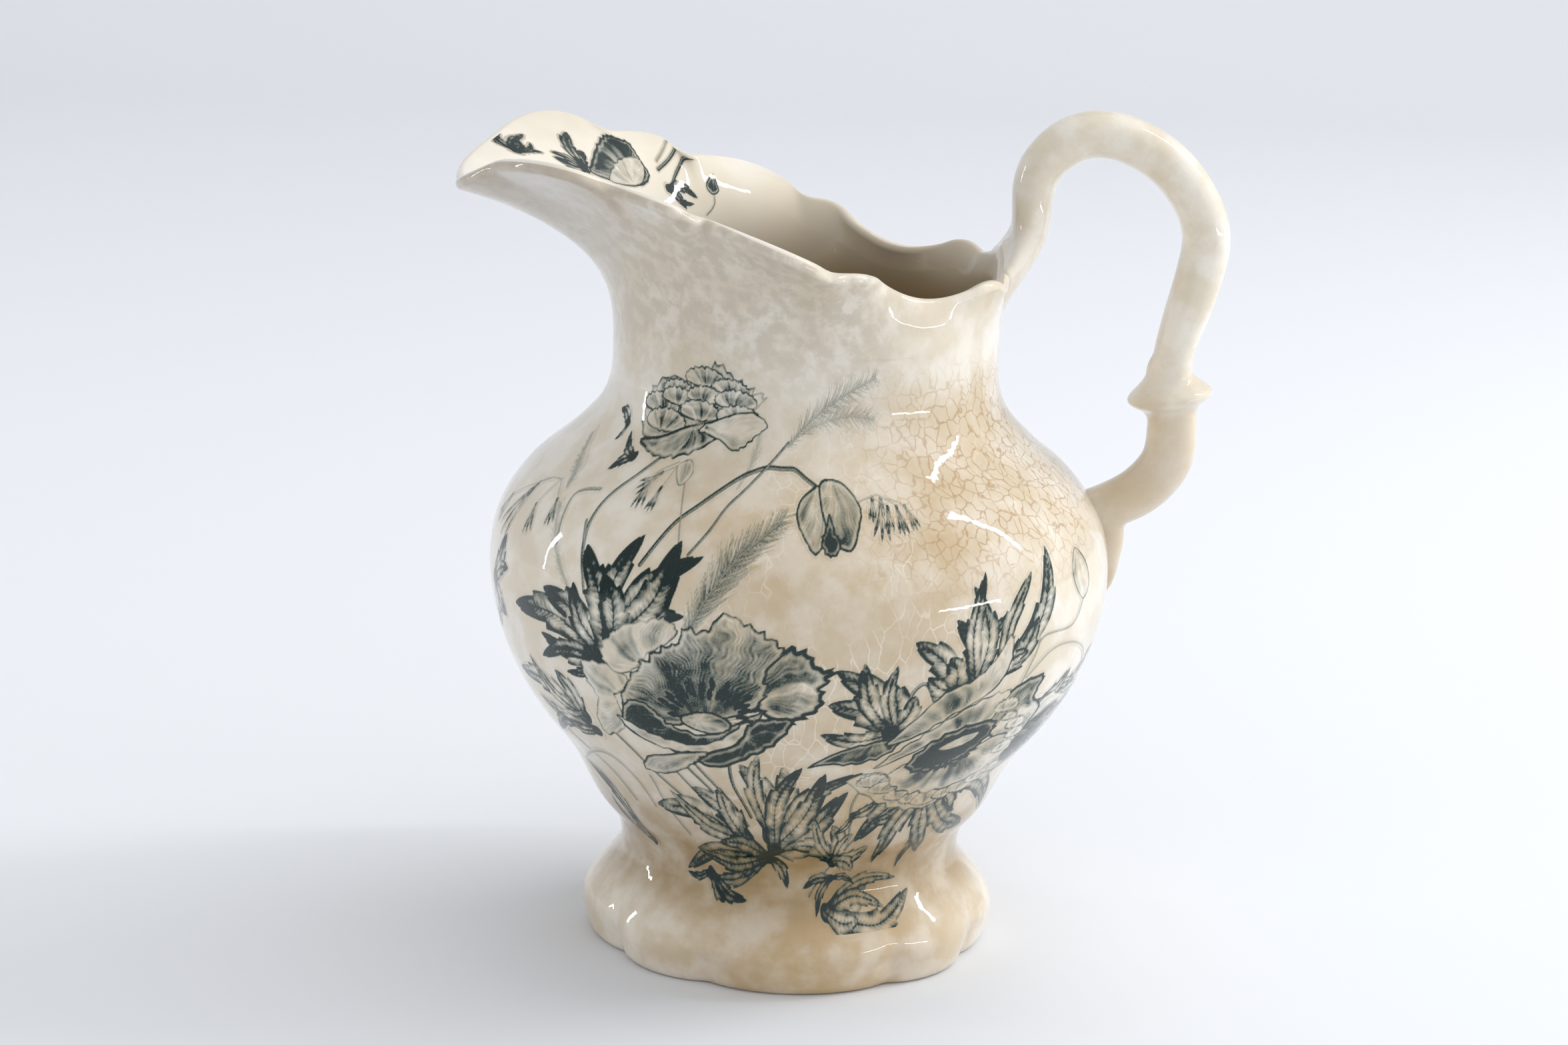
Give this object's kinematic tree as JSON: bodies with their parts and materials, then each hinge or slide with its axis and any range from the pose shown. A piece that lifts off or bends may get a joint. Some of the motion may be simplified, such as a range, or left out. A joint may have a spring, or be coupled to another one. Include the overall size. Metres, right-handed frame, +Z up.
{
  "type": "ceramic pitcher",
  "caption": "Footed ovoid pitcher with a waisted neck, scalloped mouth rising to a broad spout, a looped handle with a raised collar, and floral transfer print.",
  "frame": {"origin": "on the surface it stands on, under the middle of its own box", "axes": "+Z up, +X toward the handle, -X toward the spout, mirror symmetric about the XZ plane"},
  "size_m": [0.2122, 0.1714, 0.2354],
  "materials": {
    "vessel_body": "cream glaze, tea-stained and crazed, with a blue-green transfer print",
    "pedestal_foot": "cream glaze, stained tan, crazed",
    "handle": "cream glaze",
    "foot_luting_slip": "fired clay slip under the glaze",
    "upper_luting_slip": "fired clay slip under the glaze",
    "lower_luting_slip": "fired clay slip under the glaze, browned"
  },
  "bodies": {
    "root": {"vessel_body": "vessel_body", "pedestal_foot": "pedestal_foot", "handle": "handle", "foot_luting_slip": "foot_luting_slip", "upper_luting_slip": "upper_luting_slip", "lower_luting_slip": "lower_luting_slip"}
  },
  "joints": []
}
